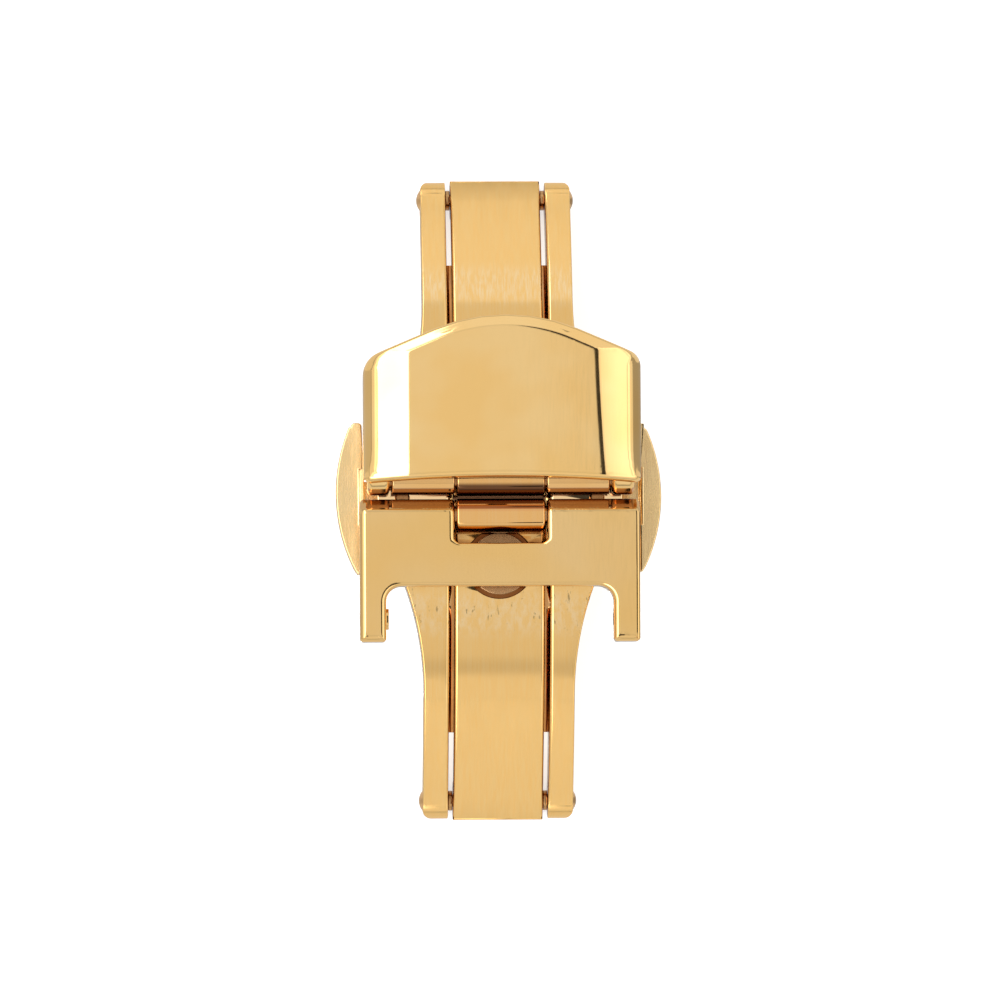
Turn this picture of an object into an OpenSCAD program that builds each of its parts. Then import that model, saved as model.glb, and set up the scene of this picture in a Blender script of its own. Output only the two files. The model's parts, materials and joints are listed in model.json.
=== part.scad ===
// Double-fold deployant clasp with two push-buttons, closed.
// +X is right, +Y runs along the clasp towards the clamped strap end, +Z points away from the wrist.
// The origin is under the middle of the clasp, on the surface that the rail ends stand on.

/* [Strap] */
// Width of the strap that fits between the legs of the strap frame
strap_w = 16; // [14:0.5:20]
// Free height between the strap plate and the cover
strap_room_h = 2; // [1.6:0.1:2.6]

/* [Base] */
// Radius of the middle of the curved rails
rail_arc_r = 38; // [36:1:46]
// Distance between the two end pins
pin_span = 43.36; // [42:0.2:46]
// Height of a rail
rail_h = 2.4; // [2.2:0.1:2.8]
// Width of a rail
rail_w = 1.8; // [1.4:0.1:2.2]
// Radius of the rounded rail ends, seen from the side
rail_end_r = 1.3; // [1.25:0.05:1.45]
// Radius of the rail corners, seen from above
rail_corner_r = 0.6; // [0.2:0.1:0.9]
// Thickness of the floor between the rails
floor_t = 0.9; // [0.7:0.05:1]
// Length of the floor between the rails
floor_len = 33.6; // [30:0.2:36]
// Radius of the flare that widens the rails towards the housing
flare_r = 22; // [16:1:30]
// Distance from the middle at which the flare starts
flare_start = 14; // [12:0.5:15]
// Width over the flared rails where they meet the housing
flare_w = 13.5; // [12.8:0.1:14]

/* [Housing] */
// Thickness of the housing's wall between the pocket and a flat
housing_wall = 1.75; // [1.6:0.05:1.9]
// How far the round of the housing would reach past a flat
housing_round = 0.45; // [0.35:0.05:0.6]
// Thickness of the roof between the mechanism and the channel floor
roof_t = 0.45; // [0.3:0.05:0.6]
// Height of the pocket that holds the mechanism
pocket_h = 1; // [0.9:0.05:1.2]
// Width of the pocket across the clasp
pocket_w = 14; // [13.8:0.1:14.4]
// Length of the pocket at the button slides
pocket_len = 11.2; // [11:0.1:11.6]
// Thickness of the plate that closes the housing
back_plate_t = 0.6; // [0.5:0.05:0.9]

/* [Blades] */
// Thickness of a blade
blade_t = 1.1; // [0.9:0.05:1.2]
// Width of a blade
blade_w = 6.46; // [5.8:0.02:6.6]
// Gap between a blade and a rail
blade_side_gap = 0.37; // [0.25:0.01:0.6]
// Gap between a blade and the channel floor
blade_floor_gap = 0.25; // [0.15:0.05:0.35]
// Radius of a blade's nose round its end pin
blade_nose_r = 1.4; // [1.1:0.05:1.5]

/* [Hinges] */
// Radius of the end pins
end_pin_r = 0.45; // [0.35:0.05:0.6]
// Radius of the domed heads of the end pins
rivet_head_r = 0.75; // [0.7:0.05:0.9]
// Height of the domed heads of the end pins
rivet_head_h = 0.28; // [0.2:0.02:0.4]
// Radius of the washers on the end pins
washer_r = 1.2; // [0.9:0.05:1.25]
// Radius of the two head hinge pins
hinge_pin_r = 0.65; // [0.5:0.05:0.7]
// Radius of the blades' hinge knuckles
knuckle_r = 1.2; // [1.15:0.05:1.25]
// Width of the blades' hinge knuckles
knuckle_w = 6.24; // [5.6:0.02:6.3]
// Gap between the two knuckles
knuckle_gap = 0.18; // [0.16:0.02:0.4]
// Place of the gap between the knuckles along the clasp
knuckle_gap_y = -0.21; // [-0.4:0.01:0.2]
// Radius of the strap frame's hinge barrel
frame_barrel_r = 1.15; // [1.05:0.05:1.15]
// Radius of the strap plate's hinge lugs
lug_r = 1.1; // [1:0.05:1.15]
// Side gap between a knuckle and what turns beside it
hinge_side_gap = 0.16; // [0.1:0.02:0.3]
// Gap between the base and the heads that lie on it
head_gap = 0.31; // [0.25:0.01:0.5]
// Radial clearance where a pin turns
turn_gap = 0.03; // [0.02:0.01:0.06]
// Radial clearance where a pin is pressed in
press_gap = 0.01; // [0.005:0.005:0.015]

/* [Strap frame] */
// Width of a leg of the strap frame
leg_w = 1.86; // [1.4:0.02:2.4]
// Distance from the frame's hinge to the far edge of its crossbar
crossbar_len = 5; // [4.6:0.1:6]
// Distance from the frame's hinge to the ends of its legs
leg_len = 8.9; // [8.4:0.1:10]
// Distance from the frame's hinge to the spring-bar bores
bar_bore_len = 7.37; // [7:0.01:7.6]
// Radius of the spring-bar bores
bar_bore_r = 0.5; // [0.4:0.05:0.6]
// Radius of the raised rims round the bores
bar_rim_r = 0.75; // [0.7:0.05:0.9]
// Height of the raised rims
bar_rim_h = 0.1; // [0.05:0.01:0.15]
// Radius of the fillets between the crossbar and the legs
frame_fillet_r = 1.1; // [0.4:0.1:1.4]

/* [Strap clamp] */
// Thickness of the strap plate
plate_t = 0.75; // [0.6:0.05:0.9]
// Distance from the clamp's hinge to the far end of the strap plate
plate_len = 9.4; // [8.6:0.1:9.8]
// Thickness of the cover
cover_t = 1.2; // [0.8:0.05:1.5]
// Width over the cover
cover_w = 19.74; // [19.5:0.02:20]
// Thickness of the cover's flanks
flank_t = 1.6; // [1.2:0.05:1.7]
// Distance from the clamp's hinge to the top of the cover's arch
cover_len = 11.3; // [11:0.1:12]
// Distance from the clamp's hinge to the far corners of the cover
cover_side_len = 8.9; // [8.6:0.1:9.4]
// Distance from the clamp's hinge back to the cover's near corners
cover_near = 0.35; // [0.1:0.05:0.5]
// How far the cover's near edge is hollowed in its middle
cover_hollow = 0.4; // [0:0.05:0.4]
// Radius of the cover's far corners
cover_corner_r = 1.2; // [0.5:0.1:2]
// Width of the bevel along the cover's arch
cover_bevel_w = 0.9; // [0.4:0.05:1.2]
// Depth of that bevel
cover_bevel_h = 0.45; // [0.2:0.05:0.6]
// Width of the flat top between the cover's two side slopes
cover_flat_w = 13.8; // [12:0.1:15]
// How far a side slope falls to the edge of the cover
cover_slope_h = 0.6; // [0.2:0.05:0.8]
// Radius of the cover's ears
ear_r = 1.15; // [1:0.05:1.15]
// Width of an ear
ear_w = 1.6; // [1.2:0.05:1.7]
// Radius of the strap peg
peg_r = 0.8; // [0.6:0.05:1]
// Distance from the clamp's hinge to the strap peg
peg_len = 6; // [5:0.1:7.5]

/* [Catches] */
// Distance between the two catch studs
stud_span = 9.7; // [9.4:0.05:9.9]
// Radius of a stud's shank
stud_r = 0.8; // [0.75:0.05:0.9]
// Radius of a stud's head
stud_head_r = 2.2; // [1.8:0.05:2.3]
// Thickness of a stud's head
stud_head_t = 0.35; // [0.25:0.05:0.4]
// Radius of the recess round a stud's head
stud_recess_r = 2.5; // [2.4:0.05:2.7]
// Radius of the groove that the catch spring snaps into
stud_groove_r = 0.45; // [0.4:0.05:0.5]
// How far a stud's hole is lengthened, because the stud swings outwards as it lifts
stud_swing = 0.75; // [0.7:0.05:0.9]
// Half the width of the catch springs' square wire
wire_r = 0.2; // [0.15:0.01:0.22]

/* [Buttons] */
// How far the buttons stand out from the round of the housing
button_reach = 2.45; // [2.1:0.05:3]
// Length of a button along the clasp
button_len = 10.9; // [10:0.1:12]
// Thickness of a button
button_t = 2; // [1.6:0.1:2.2]
// Width of the bevel on a button's outer edge
button_bevel = 0.35; // [0.1:0.05:0.6]
// Gap between the round of the housing and the tips of the left button
left_button_gap = 0.6; // [0.45:0.05:0.8]
// Gap between the round of the housing and the tips of the right button
right_button_gap = 1.2; // [0.45:0.05:1.3]
// How far a button's inner edge comes in between its tips and its neck
button_inner_rake = 0.2; // [0:0.05:0.2]
// Width of a button's neck
neck_w = 2.2; // [1.8:0.1:2.6]
// Thickness of a slide
slide_t = 0.42; // [0.35:0.01:0.45]
// Distance from the middle to the release pins
release_pin_x = 2.3; // [2.2:0.05:2.5]
// Radius of the return springs, measured to the middle of the wire
coil_r = 0.33; // [0.28:0.01:0.34]
// Radius of the return springs' wire
coil_wire_r = 0.07; // [0.05:0.01:0.09]
// Number of turns of a return spring
coil_turns = 9; // [6:1:12]

/* [Rest posts and screws] */
// Distance between the two rest posts
post_span = 13.9; // [13:0.1:14.4]
// Radius of a rest post
post_r = 0.42; // [0.3:0.02:0.45]
// Depth of a rest post in the base
post_depth = 1; // [0.6:0.1:1.2]
// Height of a rest post above the base
post_h = 0.5; // [0.3:0.05:0.55]
// Radius of a back plate screw's shank
screw_r = 0.35; // [0.25:0.05:0.4]
// Radius of a back plate screw's head
screw_head_r = 0.6; // [0.5:0.05:0.65]
// Thickness of a screw's countersunk head
screw_head_t = 0.3; // [0.2:0.05:0.4]
// How deep the screws reach into the housing
screw_hold = 0.5; // [0.3:0.05:0.6]
// Width of the slot in a screw's head
screw_slot_w = 0.16; // [0.1:0.02:0.2]
// Depth of the slot in a screw's head
screw_slot_t = 0.15; // [0.1:0.01:0.18]
// Distance between the screws along the clasp
screw_span = 6.4; // [5.6:0.1:6.8]

/* [Hidden] */
$fn = 96;
BIG = 80;

// Heights and radii of the curved base; every arc is centred on arc_z above the middle
end_pin_y = pin_span / 2;
end_pin_z = rail_end_r;
arc_z = end_pin_z - sqrt(pow(rail_arc_r, 2) - pow(end_pin_y, 2));
rail_in_r = rail_arc_r - rail_h / 2;
rail_out_r = rail_arc_r + rail_h / 2;
floor_top_r = rail_in_r + floor_t;
blade_in_r = floor_top_r + blade_floor_gap;
blade_out_r = blade_in_r + blade_t;
channel_w = blade_w + 2 * blade_side_gap;
rails_w = channel_w + 2 * rail_w;
base_top_z = arc_z + rail_out_r;

// Plan of the catch springs round the studs
stud_y = stud_span / 2;
wire_near = stud_groove_r + wire_r + 0.01;
wire_ramp_x = 1.4;
wire_end_x = 3;
wire_far = wire_near + 0.5 * (wire_end_x - wire_ramp_x);
wire_gap = 0.09;
spring_pocket_len = 2 * (stud_y + wire_far + wire_r + wire_gap);

// Heights inside the housing, from the channel floor down
pocket_top_z = arc_z + sqrt(pow(floor_top_r, 2) - pow(spring_pocket_len / 2, 2)) - roof_t;
pocket_z = pocket_top_z - pocket_h;
back_plate_z = pocket_z - back_plate_t;
slide_z = pocket_z + 0.05;
wire_z = pocket_top_z - 0.07 - wire_r;

// Hinge axes of the two heads
head_z = base_top_z + head_gap;
hinge_z = head_z + frame_barrel_r;
upper_hinge_y = knuckle_gap_y + knuckle_gap / 2 + knuckle_r;
lower_hinge_y = knuckle_gap_y - knuckle_gap / 2 - knuckle_r;
knuckle_flat = 0.15;
notch_w = knuckle_w + 2 * hinge_side_gap;

// Strap frame and clamp
strap_gap = 0.09;
frame_w = strap_w + 2 * (strap_gap + leg_w);
frame_h = 2 * frame_barrel_r;
cover_in_z = head_z + plate_t + strap_room_h;
ear_out_w = cover_w - 0.74;
lugs_w = ear_out_w - 2 * ear_w - 2 * hinge_side_gap;
flank_in_w = cover_w - 2 * flank_t;
cover_top_z = cover_in_z + cover_t;
arch_r = (pow(cover_w / 2, 2) + pow(cover_len - cover_side_len, 2))
    / (2 * (cover_len - cover_side_len));
arch_y = upper_hinge_y + cover_len - arch_r;
hollow_r = cover_hollow > 0
    ? (pow(cover_w / 2, 2) + pow(cover_hollow, 2)) / (2 * cover_hollow) : 0;

// Catches
groove_z = wire_z - wire_r - 0.03;
groove_top_z = wire_z + wire_r + 0.03;
wire_bend = atan2(wire_far - wire_near, wire_end_x - wire_ramp_x);
ramp_len = norm([wire_end_x - wire_ramp_x, wire_far - wire_near]);
ramp_gap = ((wire_end_x - wire_ramp_x) * wire_near
    + (wire_far - wire_near) * (release_pin_x - wire_ramp_x)) / ramp_len;
release_pin_r = ramp_gap - wire_r - 0.08;
recess_z = arc_z + sqrt(pow(blade_out_r, 2) - pow(stud_y + stud_recess_r, 2)) - 0.15;

// Housing, buttons and slides
housing_w = pocket_w + 2 * housing_wall;
housing_r = housing_w / 2 + housing_round;
button_r = housing_r + button_reach;
slide_gap = 0.1;
slide_rim_w = 1.6;
slide_out_x = pocket_w / 2 - slide_gap;
slide_in_x = release_pin_x - release_pin_r - 0.05;
slide_len = pocket_len - 4 * slide_gap;
window_x = slide_out_x - slide_rim_w;
window_len = 6.2;
stop_w = 0.9;
spring_end_x = window_x - 0.02;
screw_x = (pocket_w + housing_wall) / 2;

// A cylinder along X, centred on the middle plane
module rod(r, w, y, z) {
    translate([0, y, z])
        rotate([0, 90, 0])
            cylinder(r = r, h = w, center = true);
}

// The same rod on both sides of the middle plane, between two distances from it
module side_rods(r, x_in, x_out, y, z) {
    for (side = [-1, 1])
        translate([side * (x_in + x_out) / 2, 0, 0])
            rod(r, x_out - x_in, y, z);
}

// A flat outline in Y and Z, made w wide across the clasp
module side_profile(w) {
    rotate([90, 0, 90])
        linear_extrude(height = w, center = true)
            children();
}

// A curved band across the clasp, between two radii
module band(r_in, r_out, w) {
    translate([0, 0, arc_z])
        side_profile(w)
            difference() {
                circle(r = r_out, $fn = 360);
                circle(r = r_in, $fn = 360);
            }
}

// The part of a band between two distances along the clasp, cut square to the curve
module sector(y_from, y_to) {
    reach = BIG / rail_arc_r;
    z_from = sqrt(pow(rail_arc_r, 2) - pow(y_from, 2));
    z_to = sqrt(pow(rail_arc_r, 2) - pow(y_to, 2));
    translate([0, 0, arc_z])
        side_profile(BIG)
            polygon([[0, 0], [y_from, z_from] * reach, [0, BIG * 1.5], [y_to, z_to] * reach]);
}

// A block given by its two corners
module block(low, high) {
    translate(low)
        cube(high - low);
}

module rounded_plan(w, l, r) {
    union() {
        square([w - 2 * r, l], center = true);
        square([w, l - 2 * r], center = true);
        for (x = [-1, 1], y = [-1, 1])
            translate([x * (w / 2 - r), y * (l / 2 - r)])
                circle(r = r);
    }
}

module housing_plan() {
    intersection() {
        circle(r = housing_r);
        square([housing_w, BIG], center = true);
    }
}

module base_plan() {
    union() {
        rounded_plan(rails_w, 2 * (end_pin_y + rail_end_r), rail_corner_r);
        difference() {
            square([flare_w, 2 * flare_start], center = true);
            for (x = [-1, 1], y = [-1, 1])
                translate([x * (rails_w / 2 + flare_r), y * flare_start])
                    circle(r = flare_r, $fn = 180);
        }
        housing_plan();
    }
}

module pocket_plan() {
    union() {
        square([pocket_w, pocket_len], center = true);
        square([2 * (wire_end_x + wire_far + wire_r + 0.2), spring_pocket_len], center = true);
    }
}

// A slot with round ends that runs outwards from a stud
module stud_slot_plan(r) {
    for (side = [-1, 1])
        translate([0, side * stud_y]) {
            circle(r = r);
            translate([0, side * stud_swing])
                circle(r = r);
            translate([0, side * stud_swing / 2])
                square([2 * r, stud_swing], center = true);
        }
}

module at_screws() {
    for (x = [-1, 1], y = [-1, 1])
        translate([x * screw_x, y * screw_span / 2, 0])
            children();
}

module screw_shape(gap) {
    lap = screw_head_t / 3;
    translate([0, 0, back_plate_z - 0.001 * sign(gap)])
        cylinder(r1 = screw_head_r + gap, r2 = screw_r + gap, h = screw_head_t);
    translate([0, 0, back_plate_z + screw_head_t - lap])
        cylinder(r = screw_r + gap, h = back_plate_t - screw_head_t + lap + screw_hold + gap);
}

module base_frame() {
    color("goldenrod")
        difference() {
            union() {
                intersection() {
                    band(rail_in_r, rail_out_r, BIG);
                    sector(-end_pin_y, end_pin_y);
                    linear_extrude(height = BIG)
                        base_plan();
                }
                intersection() {
                    translate([0, 0, pocket_z])
                        linear_extrude(height = base_top_z - pocket_z)
                            housing_plan();
                    rod_space();
                }
                intersection() {
                    for (side = [-1, 1])
                        rod(rail_end_r, BIG, side * end_pin_y, end_pin_z);
                    linear_extrude(height = BIG)
                        base_plan();
                }
            }
            channel();
            translate([0, 0, pocket_z - 1])
                linear_extrude(height = pocket_top_z - pocket_z + 1)
                    difference() {
                        pocket_plan();
                        square([stop_w, neck_w], center = true);
                    }
            neck_slots();
            translate([0, 0, pocket_z])
                linear_extrude(height = BIG)
                    stud_slot_plan(stud_r + 0.25);
            for (side = [-1, 1])
                rod(end_pin_r + press_gap, BIG, side * end_pin_y, end_pin_z);
            at_screws()
                screw_shape(press_gap);
            for (side = [-1, 1])
                translate([side * post_span / 2, knuckle_gap_y, base_top_z - post_depth])
                    cylinder(r = post_r + press_gap, h = BIG);
        }
}

// Everything under the outer surface of the rails
module rod_space() {
    translate([0, 0, arc_z])
        side_profile(BIG)
            circle(r = rail_out_r, $fn = 360);
}

// The channel for the blades, with its curved floor and its two open ends
module channel() {
    difference() {
        block([-channel_w / 2, -BIG, -BIG], [channel_w / 2, BIG, BIG]);
        intersection() {
            translate([0, 0, arc_z])
                side_profile(BIG)
                    circle(r = floor_top_r, $fn = 360);
            block([-BIG, -floor_len / 2, -BIG], [BIG, floor_len / 2, BIG]);
        }
    }
}

module neck_slots() {
    half = neck_w / 2 + 0.08;
    block([-BIG, -half, pocket_z - 1], [-pocket_w / 2 + 0.5, half, pocket_top_z]);
    block([pocket_w / 2 - 0.5, -half, pocket_z - 1], [BIG, half, pocket_top_z]);
}

module back_plate() {
    color("goldenrod")
        difference() {
            translate([0, 0, back_plate_z])
                linear_extrude(height = back_plate_t)
                    housing_plan();
            band(rail_in_r - press_gap, rail_out_r, BIG);
            at_screws()
                screw_shape(press_gap);
        }
}

module back_plate_screws() {
    color("silver")
        at_screws()
            difference() {
                screw_shape(0);
                block([-BIG, -screw_slot_w / 2, -BIG],
                    [BIG, screw_slot_w / 2, back_plate_z + screw_slot_t]);
            }
}

// A pin riveted through both rails, with a domed head at each end
module end_pin(y) {
    dome_r = (pow(rivet_head_r, 2) + pow(rivet_head_h, 2)) / (2 * rivet_head_h);
    color("tan")
        translate([0, y, end_pin_z])
            rotate([0, 90, 0])
                rotate_extrude()
                    union() {
                        translate([0, -rails_w / 2 - 0.01])
                            square([end_pin_r, rails_w + 0.02]);
                        for (side = [0, 1])
                            mirror([0, side])
                                intersection() {
                                    translate([0, rails_w / 2 + rivet_head_h - dome_r])
                                        circle(r = dome_r, $fn = 180);
                                    translate([0, rails_w / 2])
                                        square([rivet_head_r + 1, rivet_head_h + 1]);
                                }
                    }
}

module upper_end_pin() {
    end_pin(end_pin_y);
}

module lower_end_pin() {
    end_pin(-end_pin_y);
}

module end_pin_washers() {
    color("tan")
        for (side = [-1, 1])
            difference() {
                side_rods(washer_r, blade_w / 2 + 0.04, channel_w / 2 - 0.03,
                    side * end_pin_y, end_pin_z);
                rod(end_pin_r + turn_gap, BIG, side * end_pin_y, end_pin_z);
            }
}

module rest_post(x) {
    color("peru")
        translate([x, knuckle_gap_y, base_top_z - post_depth])
            cylinder(r = post_r, h = post_depth + post_h);
}

module left_rest_post() {
    rest_post(-post_span / 2);
}

module right_rest_post() {
    rest_post(post_span / 2);
}

// One leg of a catch spring, seen from above, with mitred corners where it bends;
// its root laps into the round end, which is a little wider
module spring_leg(side) {
    lead = wire_r * tan(wire_bend / 2);
    root_lap = 0.1;
    root_r = wire_r - 0.03;
    linear_extrude(height = 2 * wire_r)
        polygon([[-wire_end_x - root_lap, side * (wire_far + root_r)],
            [lead - wire_end_x, side * (wire_far + root_r)],
            [lead - wire_ramp_x, side * (wire_near + wire_r)],
            [wire_ramp_x - lead, side * (wire_near + wire_r)],
            [wire_end_x - wire_r * sin(wire_bend), side * (wire_far + wire_r * cos(wire_bend))],
            [wire_end_x + wire_r * sin(wire_bend), side * (wire_far - wire_r * cos(wire_bend))],
            [wire_ramp_x + lead, side * (wire_near - wire_r)],
            [-wire_ramp_x - lead, side * (wire_near - wire_r)],
            [-wire_end_x - root_lap, side * (wire_far - root_r)]]);
}

// Square wire bent to a hairpin: the middle holds the stud's groove, the wide ends take the pins
module catch_spring(side) {
    color("silver")
        translate([0, side * stud_y, wire_z - wire_r])
            union() {
                spring_leg(-1);
                difference() {
                    translate([-wire_end_x, 0, 0])
                        cylinder(r = wire_far + wire_r, h = 2 * wire_r);
                    translate([-wire_end_x, 0, 0])
                        cylinder(r = wire_far - wire_r, h = BIG, center = true);
                    block([-wire_end_x, -BIG, -BIG], [BIG, BIG, BIG]);
                }
                spring_leg(1);
            }
}

module upper_catch_spring() {
    catch_spring(1);
}

module lower_catch_spring() {
    catch_spring(-1);
}

// The rings of a coil of round wire, each as six points
RING_SIDES = 6;
RINGS_PER_TURN = 8;
coil_len = spring_end_x - stop_w / 2 - 0.02;
coil_rings = coil_turns * RINGS_PER_TURN;
coil_pitch = (coil_len - 2 * coil_wire_r) / coil_turns;

function coil_point(i, j) =
    let (turn = 360 * i / RINGS_PER_TURN, around = 360 * j / RING_SIDES,
        r = coil_r + coil_wire_r * cos(around))
    [coil_wire_r + coil_pitch * i / RINGS_PER_TURN + coil_wire_r * sin(around),
        r * cos(turn), r * sin(turn)];

module return_spring() {
    last = coil_rings * RING_SIDES;
    points = [for (i = [0:coil_rings], j = [0:RING_SIDES - 1]) coil_point(i, j)];
    sides = [for (i = [0:coil_rings - 1], j = [0:RING_SIDES - 1])
        let (a = i * RING_SIDES + j, b = i * RING_SIDES + (j + 1) % RING_SIDES)
        each [[a, b, b + RING_SIDES], [a, b + RING_SIDES, a + RING_SIDES]]];
    caps = [for (j = [1:RING_SIDES - 2])
        each [[0, j + 1, j], [last, last + j, last + j + 1]]];
    translate([stop_w / 2 + 0.01, 0, slide_z + coil_r + coil_wire_r])
        polyhedron(points, concat(sides, caps));
}

module left_return_spring() {
    color("silver")
        mirror([1, 0, 0])
            return_spring();
}

module right_return_spring() {
    color("silver")
        return_spring();
}

// The wing of a button, its neck and the slide inside the housing, for the right-hand side
module button(inner_x) {
    wing_z = pocket_z + 0.45 - button_t / 2;
    root_x = inner_x - button_inner_rake;
    union() {
        translate([0, 0, wing_z])
            intersection() {
                linear_extrude(height = button_t)
                    polygon([[inner_x, button_len / 2], [root_x, 0],
                        [inner_x, -button_len / 2], [button_r + 1, -button_len / 2],
                        [button_r + 1, button_len / 2]]);
                union() {
                    cylinder(r = button_r, h = button_t - button_bevel, $fn = 180);
                    translate([0, 0, button_t - button_bevel])
                        cylinder(r1 = button_r, r2 = button_r - button_bevel,
                            h = button_bevel, $fn = 180);
                }
            }
        block([slide_out_x - 0.5, -neck_w / 2, slide_z],
            [root_x + 0.6, neck_w / 2, pocket_top_z - 0.05]);
        translate([0, 0, slide_z])
            linear_extrude(height = slide_t)
                difference() {
                    translate([slide_in_x, -slide_len / 2])
                        square([slide_out_x - slide_in_x, slide_len]);
                    translate([-BIG + window_x, -window_len / 2])
                        square([BIG, window_len]);
                    for (side = [-1, 1])
                        translate([release_pin_x, side * stud_y])
                            circle(r = release_pin_r / 2 + press_gap);
                }
    }
}

module left_button() {
    color("gold")
        mirror([1, 0, 0])
            button(housing_r + left_button_gap);
}

module right_button() {
    color("gold")
        button(housing_r + right_button_gap);
}

// Pins riveted in a slide, which spread the legs of the catch springs
module release_pins() {
    color("silver")
        for (side = [-1, 1])
            translate([release_pin_x, side * stud_y, 0]) {
                translate([0, 0, slide_z])
                    cylinder(r = release_pin_r / 2, h = slide_t);
                translate([0, 0, slide_z + slide_t])
                    cylinder(r = release_pin_r, h = pocket_top_z - 0.05 - slide_z - slide_t);
            }
}

module left_release_pins() {
    mirror([1, 0, 0])
        release_pins();
}

module right_release_pins() {
    release_pins();
}

// A folding blade that turns on its end pin; it is drawn for the +Y side
module blade(hinge_y) {
    near_y = hinge_y - knuckle_r;
    difference() {
        union() {
            intersection() {
                band(blade_in_r, blade_out_r, blade_w);
                sector(near_y, end_pin_y);
                block([-BIG, near_y, -BIG], [BIG, BIG, BIG]);
            }
            intersection() {
                rod(blade_nose_r, blade_w, end_pin_y, end_pin_z);
                block([-BIG, -BIG, 0.1], [BIG, BIG, BIG]);
            }
            intersection() {
                union() {
                    rod(knuckle_r, knuckle_w, hinge_y, hinge_z);
                    block([-knuckle_w / 2, near_y, arc_z + blade_in_r - 0.02],
                        [knuckle_w / 2, hinge_y + knuckle_r, hinge_z]);
                }
                block([-BIG, -BIG, 0], [BIG, BIG, hinge_z + knuckle_r - knuckle_flat]);
            }
        }
        rod(end_pin_r + turn_gap, BIG, end_pin_y, end_pin_z);
        rod(hinge_pin_r + turn_gap, BIG, hinge_y, hinge_z);
        translate([0, stud_y, recess_z])
            cylinder(r = stud_recess_r, h = hinge_z - frame_barrel_r - recess_z);
        translate([0, stud_y, 0])
            cylinder(r = stud_r + press_gap, h = BIG);
    }
}

module upper_blade() {
    color("gold")
        blade(upper_hinge_y);
}

module lower_blade() {
    color("gold")
        mirror([0, 1, 0])
            blade(-lower_hinge_y);
}

module catch_stud(side) {
    color("peru")
        translate([0, side * stud_y, 0])
            union() {
                translate([0, 0, recess_z])
                    cylinder(r = stud_head_r, h = stud_head_t);
                translate([0, 0, groove_top_z])
                    cylinder(r = stud_r, h = recess_z - groove_top_z);
                translate([0, 0, groove_z - 0.01])
                    cylinder(r = stud_groove_r, h = groove_top_z - groove_z + 0.02);
                translate([0, 0, slide_z])
                    cylinder(r1 = stud_groove_r, r2 = stud_r - 0.05, h = groove_z - slide_z);
            }
}

module upper_catch_stud() {
    catch_stud(1);
}

module lower_catch_stud() {
    catch_stud(-1);
}

module frame_plan() {
    leg_in = frame_w / 2 - leg_w;
    difference() {
        translate([-frame_w / 2, lower_hinge_y - leg_len])
            square([frame_w, leg_len]);
        difference() {
            translate([-leg_in, lower_hinge_y - BIG])
                square([2 * leg_in, BIG - crossbar_len]);
            for (side = [-1, 1])
                translate([side * leg_in, lower_hinge_y - crossbar_len])
                    difference() {
                        square(2 * frame_fillet_r, center = true);
                        translate([-side * frame_fillet_r, -frame_fillet_r])
                            circle(r = frame_fillet_r);
                    }
        }
    }
}

module strap_frame() {
    bore_y = lower_hinge_y - bar_bore_len;
    leg_in = frame_w / 2 - leg_w;
    color("gold")
        difference() {
            union() {
                intersection() {
                    translate([0, 0, head_z])
                        linear_extrude(height = frame_h)
                            frame_plan();
                    side_profile(BIG)
                        union() {
                            translate([lower_hinge_y - BIG, head_z])
                                square([BIG, frame_h]);
                            translate([lower_hinge_y, hinge_z])
                                circle(r = frame_barrel_r);
                        }
                }
                rod(frame_barrel_r, frame_w, lower_hinge_y, hinge_z);
                side_rods(bar_rim_r, leg_in - bar_rim_h, leg_in + 0.1, bore_y, hinge_z);
            }
            block([-notch_w / 2, lower_hinge_y - knuckle_r - 0.7, 0],
                [notch_w / 2, BIG, BIG]);
            rod(hinge_pin_r + press_gap, BIG, lower_hinge_y, hinge_z);
            rod(bar_bore_r, BIG, bore_y, hinge_z);
        }
}

module frame_hinge_pin() {
    color("peru")
        rod(hinge_pin_r, frame_w - 0.1, lower_hinge_y, hinge_z);
}

module strap_plate() {
    free_y = upper_hinge_y + knuckle_r + 0.3;
    color("gold")
        difference() {
            union() {
                translate([0, 0, head_z])
                    linear_extrude(height = plate_t)
                        translate([0, upper_hinge_y + plate_len / 2])
                            rounded_plan(lugs_w, plate_len, 0.8);
                block([-lugs_w / 2, upper_hinge_y, head_z],
                    [lugs_w / 2, upper_hinge_y + 1.2, head_z + plate_t]);
                rod(lug_r, lugs_w, upper_hinge_y, hinge_z);
            }
            block([-notch_w / 2, -BIG, 0], [notch_w / 2, free_y, BIG]);
            rod(hinge_pin_r + press_gap, BIG, upper_hinge_y, hinge_z);
            translate([0, upper_hinge_y + peg_len, 0])
                cylinder(r = peg_r + press_gap, h = BIG);
        }
}

module strap_peg() {
    color("peru")
        translate([0, upper_hinge_y + peg_len, head_z])
            union() {
                cylinder(r = peg_r, h = plate_t + strap_room_h - 0.3);
                translate([0, 0, plate_t + strap_room_h - 0.3])
                    cylinder(r1 = peg_r, r2 = peg_r - 0.15, h = 0.15);
            }
}

module cover_hinge_pin() {
    color("peru")
        rod(hinge_pin_r, ear_out_w - 0.1, upper_hinge_y, hinge_z);
}

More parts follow.
